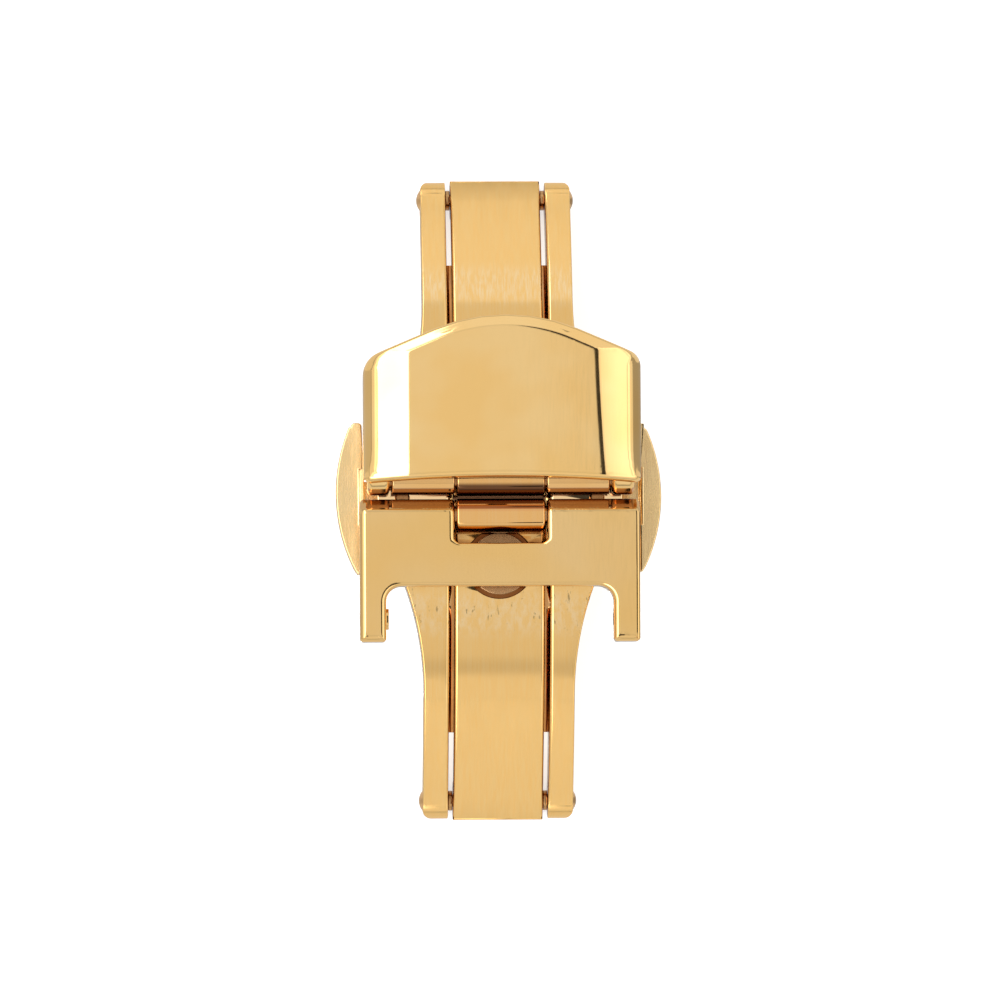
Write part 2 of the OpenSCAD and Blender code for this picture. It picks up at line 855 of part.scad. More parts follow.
// The arched outline of the cover, seen from above
module cover_plan() {
    half = cover_w / 2;
    near_y = upper_hinge_y - cover_near;
    corner_x = half - cover_corner_r;
    corner_y = arch_y + sqrt(pow(arch_r - cover_corner_r, 2) - pow(corner_x, 2));
    tangent_x = arch_r * corner_x / (arch_r - cover_corner_r);
    difference() {
        union() {
            intersection() {
                translate([-tangent_x, near_y])
                    square([2 * tangent_x, BIG]);
                translate([0, arch_y])
                    circle(r = arch_r, $fn = 360);
            }
            translate([-half, near_y])
                square([cover_w, corner_y - near_y]);
            for (side = [-1, 1])
                translate([side * corner_x, corner_y])
                    circle(r = cover_corner_r);
        }
        if (cover_hollow > 0)
            translate([0, near_y + cover_hollow - hollow_r])
                circle(r = hollow_r, $fn = 360);
    }
}

// The space under the cover's top: flat in the middle, sloping at the sides and at the arch
module cover_envelope() {
    half = cover_w / 2 + 1;
    slope_z = cover_top_z - cover_slope_h * (half - cover_flat_w / 2)
        / (cover_w / 2 - cover_flat_w / 2);
    intersection() {
        rotate([90, 0, 0])
            linear_extrude(height = BIG, center = true)
                polygon([[-half, 0], [half, 0], [half, slope_z], [cover_flat_w / 2, cover_top_z],
                    [-cover_flat_w / 2, cover_top_z], [-half, slope_z]]);
        translate([0, arch_y, 0])
            union() {
                cylinder(r = arch_r, h = cover_top_z - cover_bevel_h, $fn = 360);
                translate([0, 0, cover_top_z - cover_bevel_h])
                    cylinder(r1 = arch_r, r2 = arch_r - cover_bevel_w,
                        h = cover_bevel_h, $fn = 360);
            }
    }
}

module cover() {
    color("gold")
        difference() {
            union() {
                difference() {
                    intersection() {
                        translate([0, 0, head_z])
                            linear_extrude(height = BIG)
                                cover_plan();
                        cover_envelope();
                    }
                    block([-flank_in_w / 2, -BIG, 0], [flank_in_w / 2, BIG, cover_in_z]);
                    block([-BIG, -BIG, 0], [BIG, upper_hinge_y, cover_in_z]);
                }
                side_rods(ear_r, ear_out_w / 2 - ear_w, ear_out_w / 2, upper_hinge_y, hinge_z);
                for (side = [-1, 1])
                    translate([side * (ear_out_w - ear_w) / 2, 0, 0])
                        block([-ear_w / 2, upper_hinge_y - cover_near, hinge_z],
                            [ear_w / 2, upper_hinge_y + 1, cover_in_z + 0.3]);
            }
            rod(hinge_pin_r + turn_gap, BIG, upper_hinge_y, hinge_z);
        }
}

base_frame();
back_plate();
back_plate_screws();
upper_end_pin();
lower_end_pin();
end_pin_washers();
left_rest_post();
right_rest_post();
upper_catch_spring();
lower_catch_spring();
left_return_spring();
right_return_spring();
left_button();
right_button();
left_release_pins();
right_release_pins();
upper_blade();
upper_catch_stud();
lower_blade();
lower_catch_stud();
strap_frame();
frame_hinge_pin();
strap_plate();
strap_peg();
cover_hinge_pin();
cover();
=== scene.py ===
import json
import math

import bmesh
import bpy
from mathutils import Matrix, Vector
from mathutils.geometry import delaunay_2d_cdt
from mathutils.kdtree import KDTree


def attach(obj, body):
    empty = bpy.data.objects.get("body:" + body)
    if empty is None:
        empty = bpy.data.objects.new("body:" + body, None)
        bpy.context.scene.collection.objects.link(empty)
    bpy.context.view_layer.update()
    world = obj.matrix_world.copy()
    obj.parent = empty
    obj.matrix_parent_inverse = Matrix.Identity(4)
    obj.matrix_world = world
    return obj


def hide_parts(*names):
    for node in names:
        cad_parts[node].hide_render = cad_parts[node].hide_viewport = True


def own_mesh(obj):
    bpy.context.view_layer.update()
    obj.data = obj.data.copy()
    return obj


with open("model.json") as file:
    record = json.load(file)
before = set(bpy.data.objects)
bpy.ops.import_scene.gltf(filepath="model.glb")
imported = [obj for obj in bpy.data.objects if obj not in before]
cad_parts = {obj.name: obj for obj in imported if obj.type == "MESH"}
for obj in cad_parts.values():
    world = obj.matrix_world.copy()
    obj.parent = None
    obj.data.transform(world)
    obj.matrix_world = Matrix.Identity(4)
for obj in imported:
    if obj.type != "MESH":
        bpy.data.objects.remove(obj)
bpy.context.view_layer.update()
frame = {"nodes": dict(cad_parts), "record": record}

MM = 0.001


# Sizes of the clasp in millimetres, the same as in the CAD

UPPER_HINGE = (1.08, 10.7514)  # Y and Z of the axis
LOWER_HINGE = (-1.5, 10.7514)
END_PIN = (21.68, 1.3)
KNUCKLE_R = 1.15
HEAD_BORE_R = 0.68
CURVE_Z = -29.9086  # the height of the axis that the base and the blades curve round
STUD_Y = 4.85


# Helpers for nodes and objects

def smooth_step(tree, value, low, high, rising=True):
    """From 0 to 1 where value goes from low to high, or from 1 to 0."""
    node = tree.nodes.new("ShaderNodeMapRange")
    node.interpolation_type = "SMOOTHSTEP"
    node.inputs["From Min"].default_value = low
    node.inputs["From Max"].default_value = high
    node.inputs["To Min"].default_value = 0 if rising else 1
    node.inputs["To Max"].default_value = 1 if rising else 0
    tree.links.new(value, node.inputs["Value"])
    return node.outputs["Result"]


def added(name, data):
    """A new object in the scene with the given data."""
    item = bpy.data.objects.new(name, data)
    bpy.context.scene.collection.objects.link(item)
    return item


# Materials

# Where the finish of rails and blades changes, in millimetres of Y
POLISHED = (-14.4, 15.3)
HAZY = (14, 16.4)
CLOUDY = (7, 9.8)  # this and the next on both sides of the middle
FLECKED = (6.6, 9.4)

# Painted shade and dark reflection on top of the joint between the two heads, in millimetres
JOINT_SHADE_Z = (10.3, 11.95)
JOINT_SHADE_Y = (-1.24, 0.42)
THIN_SHADE_HIGH = 1.3
THIN_SHADE = (0.91, 0.83, 0.82)

# Painted dark reflection and shade on the two knuckles, in millimetres of Y, and painted shade in
# the groove round each stud
UPPER_KNUCKLE_SHADE_Y, UPPER_KNUCKLE_SHADE = (-0.15, 0.7), (0.19, 0.15, 0.18)
LOWER_KNUCKLE_SHADE_Y, LOWER_KNUCKLE_SHADE = (-1.08, -0.81), (0.5, 0.3, 0.25)
GROOVE_R, GROOVE_SHADE = (2.2, 2.52), (0.3, 0.17, 0.12)

# How far from other metal the painted crevice shade reaches, in millimetres
CREVICE_SHADE_REACH = 1.4


class Look:
    """A node material with one Principled shader and a few helpers to wire it."""

    def __init__(self, name):
        self.material = bpy.data.materials.new(name)
        self.material.use_nodes = True
        self.tree = self.material.node_tree
        self.shader = self.tree.nodes["Principled BSDF"]
        self.place = self.tree.nodes.new("ShaderNodeTexCoord").outputs["Object"]

    def add(self, kind, **values):
        node = self.tree.nodes.new(kind)
        for key, value in values.items():
            setattr(node, key, value)
        return node

    def link(self, a, b):
        self.tree.links.new(a, b)

    def noise(self, scale, detail=3.0, rough=0.5, seed=0.0):
        """Noise whose grain is scale (x, y, z) per millimetre."""
        place = self.add("ShaderNodeMapping")
        place.inputs["Scale"].default_value = [s / MM for s in scale]
        place.inputs["Location"].default_value = (seed, seed * 0.7, -seed)
        self.link(self.place, place.inputs["Vector"])
        noise = self.add("ShaderNodeTexNoise")
        noise.inputs["Scale"].default_value = 1.0
        noise.inputs["Detail"].default_value = detail
        noise.inputs["Roughness"].default_value = rough
        self.link(place.outputs["Vector"], noise.inputs["Vector"])
        return noise.outputs["Fac"]

    def ramp(self, value, low, high, start=0.35, end=0.65):
        """Value from start to end becomes low to high."""
        node = self.add("ShaderNodeMapRange")
        node.inputs["From Min"].default_value = start
        node.inputs["From Max"].default_value = end
        node.inputs["To Min"].default_value = low
        node.inputs["To Max"].default_value = high
        self.link(value, node.inputs["Value"])
        return node.outputs["Result"]

    def colours(self, value, *stops):
        """Colour ramp through (position, colour) stops."""
        node = self.add("ShaderNodeValToRGB")
        elements = node.color_ramp.elements
        while len(elements) < len(stops):
            elements.new(0.5)
        for element, (position, colour) in zip(elements, stops):
            element.position = position
            element.color = (*colour, 1)
        self.link(value, node.inputs["Fac"])
        return node.outputs["Color"]

    def bump(self, value, distance):
        """Normal of a relief whose height is value times distance, in millimetres."""
        node = self.add("ShaderNodeBump")
        node.inputs["Distance"].default_value = distance * MM
        self.link(value, node.inputs["Height"])
        return node.outputs["Normal"]

    def split(self):
        """The coordinates X, Y and Z, in metres."""
        node = self.add("ShaderNodeSeparateXYZ")
        self.link(self.place, node.inputs[0])
        return node

    def step(self, value, at, soft, rising=True):
        """From 0 to 1 where a coordinate passes at, in millimetres, or from 1 to 0."""
        return smooth_step(self.tree, value, (at - soft) * MM, (at + soft) * MM, rising)

    def between(self, low, high, soft):
        """1 where Y, in millimetres, is in a span."""
        y = self.split().outputs["Y"]
        return self.times(self.step(y, low, soft), self.step(y, high, soft, False))

    def above(self, z, soft):
        """1 where Z, in millimetres, is over a height."""
        return self.step(self.split().outputs["Z"], z, soft)

    def either(self, low, high, soft):
        """1 where the distance from the middle, in millimetres of Y, is in a span."""
        both = self.add("ShaderNodeMath", operation="ADD")
        self.link(self.between(low, high, soft), both.inputs[0])
        self.link(self.between(-high, -low, soft), both.inputs[1])
        return both.outputs[0]

    def times(self, a, b):
        """The product of two sockets."""
        node = self.add("ShaderNodeMath", operation="MULTIPLY")
        self.link(a, node.inputs[0])
        self.link(b, node.inputs[1])
        return node.outputs[0]

    def mixed(self, factor, a, b, kind="MIX"):
        """Colour a with colour b over it; factor is a socket or a number."""
        mix = self.add("ShaderNodeMix", data_type="RGBA", blend_type=kind)
        for value, socket in ((factor, mix.inputs[0]), (a, mix.inputs[6]), (b, mix.inputs[7])):
            if isinstance(value, (int, float)):
                socket.default_value = value
            elif isinstance(value, tuple):
                socket.default_value = (*value, 1)
            else:
                self.link(value, socket)
        return mix.outputs[2]

    def shade_crevices(self, colour, shade, where=1.0):
        """Painted shade: colour darkened towards shade where other metal lies close by."""
        near = self.add("ShaderNodeAmbientOcclusion", samples=6)
        near.inputs["Distance"].default_value = CREVICE_SHADE_REACH * MM
        tone = self.colours(near.outputs["AO"], (0.12, shade), (0.6, (1, 1, 1)))
        return self.mixed(where, colour, tone, "MULTIPLY")

    def joint_shaded(self, colour, joint_shade, value, reach):
        """Colour with painted shade and dark reflection on top of the joint between the two heads.

        Value is the grain of the painted shade, and reach is how far down the clasp a thinner
        painted shade runs.
        """
        z = self.split().outputs["Z"]
        zone = self.times(self.step(z, JOINT_SHADE_Z[0], 0.25), self.step(z, JOINT_SHADE_Z[1], 0.08, False))
        thin = self.times(self.between(-reach, THIN_SHADE_HIGH, 0.2), zone)
        colour = self.mixed(thin, colour, THIN_SHADE, "MULTIPLY")
        shade_band = self.times(self.between(*JOINT_SHADE_Y, 0.07), self.ramp(value, 0.8, 1, 0.3, 0.7))
        return self.mixed(self.times(shade_band, zone), colour, joint_shade, "MULTIPLY")

    def knuckle_shaded(self, colour):
        """Colour with painted dark reflection and shade between the two knuckles."""
        zone = self.above(9.5, 0.3)
        upper = self.times(self.between(*UPPER_KNUCKLE_SHADE_Y, 0.17), zone)
        colour = self.mixed(upper, colour, UPPER_KNUCKLE_SHADE, "MULTIPLY")
        lower = self.times(self.between(*LOWER_KNUCKLE_SHADE_Y, 0.06), zone)
        return self.mixed(lower, colour, LOWER_KNUCKLE_SHADE, "MULTIPLY")

    def groove_shaded(self, colour):
        """Colour with painted shade in the round grooves about the catch studs."""
        split = self.split()
        far = self.add("ShaderNodeMath", operation="ABSOLUTE")
        self.link(split.outputs["Y"], far.inputs[0])
        flat = self.add("ShaderNodeCombineXYZ")
        self.link(split.outputs["X"], flat.inputs["X"])
        self.link(far.outputs[0], flat.inputs["Y"])
        away = self.add("ShaderNodeVectorMath", operation="DISTANCE")
        self.link(flat.outputs[0], away.inputs[0])
        away.inputs[1].default_value = (0, STUD_Y * MM, 0)
        away = away.outputs["Value"]
        groove = self.times(self.step(away, GROOVE_R[0], 0.03),
                            self.step(away, GROOVE_R[1], 0.03, False))
        return self.mixed(self.times(groove, self.above(8.2, 0.1)), colour, GROOVE_SHADE,
                          "MULTIPLY")

    def wear(self, colour, roughness, normal):
        """The material, with its shader wired."""
        self.link(colour, self.shader.inputs["Base Color"])
        self.link(roughness, self.shader.inputs["Roughness"])
        self.link(normal, self.shader.inputs["Normal"])
        return self.material


def polished_gold(name, light, dark, rough, blotch=0.22, fine=0.0006, joint_shade=None):
    """Mirror gold with faint warm blotches and hairline scratches, and painted shade in the
    crevices.

    The joint shade is the colour of the painted shade and dark reflection on the joint between the
    two heads.
    """
    look = Look(name)
    look.shader.inputs["Metallic"].default_value = 1
    patches = look.noise((blotch, blotch, blotch), detail=2, seed=3)
    scratches = look.noise((9, 0.6, 9), detail=2, seed=1)
    colour = look.shade_crevices(look.colours(patches, (0.35, dark), (0.65, light)), CREVICE_SHADE)
    if joint_shade:
        colour = look.joint_shaded(colour, joint_shade, scratches, 1.1)
    return look.wear(colour, look.ramp(scratches, rough * 0.8, rough * 1.25),
                     look.bump(scratches, fine))


def brushed_gold(name, light, dark, rough, crevice_shade, kind="plain"):
    """Gold brushed along the clasp.

    Rails and blades are polished in the middle, hazy and flecked in bands, with painted shade and
    dark reflection near the heads. The rails get a painted sheen on top of the housing and painted
    shade on the channel floor under the heads.
    """
    look = Look(name)
    look.shader.inputs["Metallic"].default_value = 1
    streaks = look.noise((12, 0.12, 1.5), detail=4, rough=0.6)
    broad = look.noise((1.2, 0.1, 0.4), detail=2, seed=5)
    colour = look.colours(streaks, (0.3, dark), (0.7, light))
    rough = look.ramp(broad, rough * 0.85, rough * 1.2)
    where = 1.0
    if kind != "plain":
        shine = look.ramp(look.between(*POLISHED, 0.3), 1, 0.3, 0, 1)
        rough = look.times(rough, shine)
        fine = look.noise((7, 0.5, 2), detail=4, rough=0.65, seed=2)
        haze = look.times(look.between(*HAZY, 0.9), look.ramp(fine, 0, 0.8, 0.42, 0.66))
        colour = look.mixed(haze, colour, HAZE)
        mottle = look.noise((2.2, 0.9, 1), detail=4, rough=0.7, seed=8)
        cloud = look.times(look.either(*CLOUDY, 0.8), look.ramp(mottle, 0, 0.55, 0.42, 0.62))
        colour = look.mixed(cloud, colour, HAZE)
        spots = look.noise((2.6, 0.8, 1), detail=5, rough=0.65, seed=12)
        fleck = look.times(look.either(*FLECKED, 0.5), look.ramp(spots, 0, 0.75, 0.61, 0.66))
        colour = look.mixed(look.times(fleck, look.above(7.6, 0.2)), colour, FLECK)
    if kind == "rails":
        # Painted sheen on the housing top between the heads, and painted shade on the channel
        # floor under them
        colour = look.mixed(look.times(look.between(-1.2, 0.9, 0.7), look.above(8.6, 0.3)),
                            colour, HOUSING_SHEEN)
        x = look.split().outputs["X"]
        under = look.times(look.step(x, -3.35, 0.1), look.step(x, 3.35, 0.1, False))
        under = look.times(under, look.times(look.between(-0.55, 0.15, 0.2), look.above(6.6, 0.3)))
        colour = look.mixed(under, colour, CHANNEL_SHADE)
        where = look.either(3.4, 40, 0.6)
    elif kind == "blades":
        # Painted shade and dark reflection on the joint, on the knuckles and in the stud grooves
        colour = look.groove_shaded(look.knuckle_shaded(look.joint_shaded(colour, JOINT_SHADE_PALE, fine, 2.8)))
    # Painted shade where other metal lies close by; on the rails only beyond the heads
    colour = look.shade_crevices(colour, crevice_shade, where)
    return look.wear(colour, rough, look.bump(streaks, 0.0008))


GOLD = (0.955, 0.645, 0.275)
GOLD_DEEP = (0.945, 0.6, 0.22)
GOLD_FAIR = (0.95, 0.62, 0.25)
GOLD_RICH = (0.955, 0.58, 0.195)
# Painted crevice shade
CREVICE_SHADE = (0.34, 0.2, 0.14)
CREVICE_SHADE_PALE = (0.55, 0.34, 0.23)
# Painted shade and dark reflection on the joint between the two heads
JOINT_SHADE = (0.68, 0.6, 0.7)
JOINT_SHADE_PALE = (0.95, 0.86, 0.88)
HAZE = (0.97, 0.74, 0.43)
FLECK = (0.3, 0.22, 0.09)
# Painted sheen on the housing top
HOUSING_SHEEN = (1, 0.68, 0.36)
# Painted shade on the channel floor under the heads
CHANNEL_SHADE = (0.2, 0.1, 0.05)

# The heads and the frame get painted shade and dark reflection on the joint between them
heads = polished_gold("heads_polished", GOLD, GOLD_DEEP, 0.08, joint_shade=JOINT_SHADE)
# Gold darker than the heads', painted shade for the frame's darker reflection
frame_look = polished_gold("frame_polished", (0.87, 0.58, 0.25), (0.87, 0.55, 0.2), 0.09, 0.16,
                           joint_shade=(0.85, 0.88, 0.95))
blades = brushed_gold("blades_brushed", GOLD_FAIR, GOLD_RICH, 0.2, CREVICE_SHADE, "blades")
base = brushed_gold("rails_brushed", GOLD_FAIR, GOLD_RICH, 0.22, CREVICE_SHADE_PALE, "rails")
back = brushed_gold("back_brushed", GOLD_DEEP, GOLD_RICH, 0.24, CREVICE_SHADE_PALE)
wings = polished_gold("wings_satin", (0.975, 0.7, 0.35), (0.97, 0.68, 0.32), 0.24, 0.3, 0.0002)
pins = polished_gold("pins_polished", (0.8, 0.5, 0.22), (0.7, 0.42, 0.18), 0.14)
studs = polished_gold("studs_turned", (0.56, 0.32, 0.15), (0.45, 0.25, 0.11), 0.25)
steel = polished_gold("steel_turned", (0.62, 0.61, 0.58), (0.52, 0.51, 0.49), 0.28)
wire = polished_gold("wire_drawn", (0.55, 0.55, 0.54), (0.42, 0.42, 0.42), 0.3)

SLOT_LOOKS = {
    "gold_heads": heads, "gold_blades": blades, "gold_base": base, "gold_buttons": wings,
    "gold_pins": pins, "gold_studs": studs, "steel_screws": steel, "steel_inside": steel,
    "spring_wire": wire,
}
NODE_LOOKS = {"strap_frame": frame_look, "back_plate": back}


# Pieces

class Edge:
    """An edge of a CAD mesh, in millimetres, for choosing how wide it is rounded."""

    def __init__(self, edge):
        a, b = (v.co / MM for v in edge.verts)
        self.x, self.y, self.z = (a + b) / 2
        self.dx, self.dy, self.dz = (abs(c) for c in (b - a).normalized())
        self.angle = math.degrees(edge.calc_face_angle(0))
        self.up = max(f.normal.z for f in edge.link_faces)

    def near_axis(self, y, z, r):
        """True if the edge lies within r of the axis along X through y, z."""
        return math.hypot(self.y - y, self.z - z) < r


def cad_copy(node, name):
    """A closed copy of a CAD node's mesh as a new piece."""
    mesh = frame["nodes"][node].data.copy()
    mesh.name = name
    work = bmesh.new()
    work.from_mesh(mesh)
    bmesh.ops.remove_doubles(work, verts=work.verts, dist=0.0005 * MM)
    work.to_mesh(mesh)
    work.free()
    return added(name, mesh)


def rounded(piece, width_of, segments=4, merge=0.4):
    """Rounds each sharp edge of a piece by width_of(edge).

    Faces that differ by up to merge degrees are merged first.
    """
    mesh = piece.data
    work = bmesh.new()
    work.from_mesh(mesh)
    if merge:
        bmesh.ops.dissolve_limit(work, angle_limit=math.radians(merge), verts=work.verts,
                                 edges=work.edges, use_dissolve_boundaries=False)
    widest = 0.6
    weights = work.edges.layers.float.new("bevel_weight_edge")
    for edge in work.edges:
        if len(edge.link_faces) == 2 and edge.calc_face_angle(0) > math.radians(10):
            edge[weights] = width_of(Edge(edge)) / widest
            edge.smooth = edge[weights] > 0
    for face in work.faces:
        face.smooth = True
    work.to_mesh(mesh)
    work.free()
    bevel = piece.modifiers.new("rounded_edges", "BEVEL")
    bevel.width = widest * MM
    bevel.segments = segments
    bevel.limit_method = "WEIGHT"
    bevel.use_clamp_overlap = False
    bevel.miter_outer = "MITER_ARC"
    normals = piece.modifiers.new("weighted", "WEIGHTED_NORMAL")
    normals.weight = 100
    normals.keep_sharp = True
    return piece


# How wide each edge is rounded, in millimetres

def blade_edge(e):
    hinge = UPPER_HINGE if e.y > 0 else LOWER_HINGE
    if e.near_axis(*hinge, 0.8) or e.near_axis(math.copysign(END_PIN[0], e.y), END_PIN[1], 0.7):
        return 0.02
    if abs(e.x) < 2.6 and e.z < 9.2 and abs(e.y) > 2:
        return 0.03
    if abs(e.y) > 21.5:
        return 0.1 if e.up > 0.5 else 0.03
    if abs(e.x) > 3.2 and e.up > 0.5:
        return 0.24
    if abs(e.x) > 3 and e.z > 9:
        return 0.14
    return 0.06


def base_edge(e):
    if e.near_axis(math.copysign(END_PIN[0], e.y), END_PIN[1], 0.7):
        return 0.02
    if abs(e.x) < 2 or (e.z < 7.3 and abs(e.y) < 8):
        return 0
    if abs(e.y) > 21:
        return 0.06 if e.angle > 40 else 0
    if 3.5 < abs(e.x) < 3.7 and e.up > 0.7 and e.dx < 0.1:
        return 0.24
    if abs(e.x) > 5.2 and e.up > 0.5 and e.angle > 40:
        return 0.12
    return 0


def wing_edge(e):
    if abs(e.x) < 9.6 or e.dz > 0.5:
        return 0
    return 0.11 if abs(e.x) > 9.95 or abs(e.y) > 5 else 0.05


def plate_edge(e):
    if e.near_axis(*UPPER_HINGE, 0.9):
        return 0.02
    if e.dz > 0.9:
        return 0.05
    return 0.14


def fine_edge(_):
    return 0.05


# Helpers for pieces built in code, in millimetres

GRID = 0.3
NEAR_EDGE = 1.5  # farther from the outline than this, no fillet reaches
WIDEST_FILLET = 1.2
SHARP = math.radians(35)


def ease(value, width):
    """A ramp that starts at 0, rounded over width on both sides."""
    if value <= -width:
        return 0
    if value >= width:
        return value
    return (value + width) ** 2 / (4 * width)


def arc(cx, cy, r, start, end, steps):
    """Points on an arc round cx, cy, from start to end in degrees."""
    return [(cx + r * math.cos(math.radians(start + (end - start) * i / steps)),
             cy + r * math.sin(math.radians(start + (end - start) * i / steps)))
            for i in range(steps + 1)]


def rounded_outline(corners, step=0.3):
    """Points round a polygon whose corners (x, y, r) are arcs of radius r, anticlockwise."""
    arcs = []
    for i, (x, y, r) in enumerate(corners):
        before, after = corners[i - 1], corners[(i + 1) % len(corners)]
        u = Vector((before[0] - x, before[1] - y)).normalized()
        v = Vector((after[0] - x, after[1] - y)).normalized()
        half = u.angle(v) / 2
        reach = r / math.tan(half)
        centre = Vector((x, y)) + (u + v).normalized() * (r / math.sin(half))
        start, end = Vector((x, y)) + u * reach - centre, Vector((x, y)) + v * reach - centre
        turn = math.atan2(start.x * end.y - start.y * end.x, start.dot(end))
        steps = max(3, round(abs(turn) / math.radians(8)))
        first = math.atan2(start.y, start.x)
        arcs.append([(centre.x + r * math.cos(first + turn * k / steps),
                      centre.y + r * math.sin(first + turn * k / steps))
                     for k in range(steps + 1)])
    points = []
    for i, run in enumerate(arcs):
        points += run
        a, b = Vector(run[-1]), Vector(arcs[(i + 1) % len(arcs)][0])
        count = max(1, round((b - a).length / step))
        points += [tuple(a.lerp(b, k / count)) for k in range(1, count)]
    return points


def smoothed(values, passes):
    """The values round a closed outline, each averaged with its neighbours."""
    for _ in range(passes):
        values = [(values[i - 1] + values[i] + values[(i + 1) % len(values)]) / 3
                  for i in range(len(values))]
    return values


def drop(distance, fillet):
    """How far a rounded edge of radius fillet lies below the face at a distance from the edge."""
    if distance >= fillet:
        return 0
    return fillet - math.sqrt(max(0, fillet ** 2 - (fillet - distance) ** 2))


def outward(points):
    """The unit normals of a closed anticlockwise outline."""
    normals = []
    for i, _ in enumerate(points):
        a, b = points[i - 1], points[(i + 1) % len(points)]
        dx, dy = b[0] - a[0], b[1] - a[1]
        size = math.hypot(dx, dy)
        normals.append((dy / size, -dx / size))
    return normals


def strip(work, low, high):
    """Quads between two closed rings of vertices."""
    for i, _ in enumerate(low):
        j = (i + 1) % len(low)
        work.faces.new((low[i], low[j], high[j], high[i]))


def filled(work, ring, height, extra):
    """A cap over a closed ring of vertices, on the extra points and a grid, at height(x, y)."""
    edge = [Vector((v.co.x / MM, v.co.y / MM)) for v in ring]
    low_x, high_x = min(p.x for p in edge), max(p.x for p in edge)
    low_y, high_y = min(p.y for p in edge), max(p.y for p in edge)
    inside = [Vector(p) for p in extra]
    seen = KDTree(len(edge) + len(inside))
    for i, p in enumerate(edge + inside):
        seen.insert((p.x, p.y, 0), i)
    seen.balance()
    for row in range(math.ceil((high_y - low_y) / GRID)):
        for column in range(math.ceil((high_x - low_x) / GRID)):
            p = Vector((low_x + (column + 0.5) * GRID, low_y + (row + 0.5) * GRID))
            if seen.find((p.x, p.y, 0))[2] > GRID * 0.45:
                inside.append(p)
    loop = [(i, (i + 1) % len(edge)) for i in range(len(edge))]
    points, _, faces, origins, _, _ = delaunay_2d_cdt(edge + inside, loop, [], 1, 1e-6)
    verts = {}
    for face in faces:
        for i in face:
            if i in verts:
                continue
            known = [k for k in origins[i] if k < len(edge)]
            x, y = points[i]
            verts[i] = ring[known[0]] if known else \
                work.verts.new(Vector((x, y, height(x, y))) * MM)
        work.faces.new([verts[i] for i in face])


def slab(name, outline, top, low, top_fillet, low_fillet, reach, lines):
    """A slab over an outline between the faces top(x, y) and low(x, y), with rounded edges.

    Each point of the outline has its own fillet at the top and at the bottom.
    The edge is ringed up to reach inside the outline, and a grid fills the rest, with
    the points of lines added to it.
    """
    work = bmesh.new()
    normals = outward(outline)
    ends = [(Vector(a), Vector(outline[(i + 1) % len(outline)])) for i, a in enumerate(outline)]
    reaches = [reach * (k / 8) ** 2 for k in range(9)]
    tree = KDTree(len(outline))
    for i, p in enumerate(outline):
        tree.insert((p[0], p[1], 0), i)
    tree.balance()

    def nearest(x, y):
        """Distance from the outline, and the point of it where the nearest stretch starts."""
        if tree.find((x, y, 0))[2] > NEAR_EDGE:
            return WIDEST_FILLET, 0
        best, index = math.inf, 0
        for i, (a, b) in enumerate(ends):
            along = b - a
            t = min(1, max(0, ((x - a.x) * along.x + (y - a.y) * along.y) / along.length_squared))
            gap = math.hypot(x - a.x - along.x * t, y - a.y - along.y * t)
            if gap < best:
                best, index = gap, i
        return best, index

    def ring(inset, face, fillets, side):
        verts = []
        for p, n, fillet in zip(outline, normals, fillets):
            x, y = p[0] - n[0] * inset, p[1] - n[1] * inset
            verts.append(work.verts.new(Vector((x, y, face(x, y) - side * drop(inset, fillet)))
                                        * MM))
        return verts

    def cap(edge, face, fillets, side):
        loose = []
        for inset in [reach + 0.1 * k for k in range(1, 9)]:
            if inset > max(fillets) + 0.1:
                break
            for p, n in zip(outline, normals):
                x, y = p[0] - n[0] * inset, p[1] - n[1] * inset
                if nearest(x, y)[0] > inset - 0.01:
                    loose.append((x, y))
        loose += [p for p in lines if nearest(*p)[0] > reach + 0.08]

        def height(x, y):
            gap, index = nearest(x, y)
            return face(x, y) - side * drop(gap, fillets[index])

        filled(work, edge, height, thinned(loose, 0.06))

    rings = [ring(d, low, low_fillet, -1) for d in reversed(reaches)]
    rings += [ring(d, top, top_fillet, 1) for d in reaches]
    for a, b in zip(rings, rings[1:]):
        strip(work, a, b)
    cap(rings[0], low, low_fillet, -1)
    cap(rings[-1], top, top_fillet, 1)
    return finish_mesh(work, name)


def thinned(points, gap):
    """The points without those that lie within gap of an earlier one."""
    kept, cells = [], {}
    for p in points:
        home = (math.floor(p[0] / gap), math.floor(p[1] / gap))
        near = [q for dx in (-1, 0, 1) for dy in (-1, 0, 1)
                for q in cells.get((home[0] + dx, home[1] + dy), [])]
        if all(math.hypot(p[0] - q[0], p[1] - q[1]) > gap for q in near):
            kept.append(p)
            cells.setdefault(home, []).append(p)
    return kept


def mark_sharp(work):
    """Keeps the edges of a bmesh sharp where its faces meet at more than a small angle."""
    for edge in work.edges:
        edge.smooth = edge.calc_face_angle(0) < SHARP


def finish_mesh(work, name):
    """Turns a bmesh into an object with smooth faces and sharp edges."""
    bmesh.ops.recalc_face_normals(work, faces=work.faces)
    for face in work.faces:
        face.smooth = True
    mark_sharp(work)
    mesh = bpy.data.meshes.new(name)
    work.to_mesh(mesh)
    work.free()
    return added(name, mesh)


def boolean(piece, tool, kind):
    """Cuts or joins tool into piece and deletes tool."""
    modifier = piece.modifiers.new(kind, "BOOLEAN")
    modifier.operation = kind
    modifier.solver = "MANIFOLD"
    modifier.object = tool
    bpy.context.view_layer.update()
    done = piece.evaluated_get(bpy.context.evaluated_depsgraph_get())
    mesh = bpy.data.meshes.new_from_object(done)
    piece.modifiers.clear()
    piece.data = mesh
    work = bmesh.new()
    work.from_mesh(mesh)
    mark_sharp(work)
    work.to_mesh(mesh)
    work.free()
    bpy.data.objects.remove(tool)
    return piece


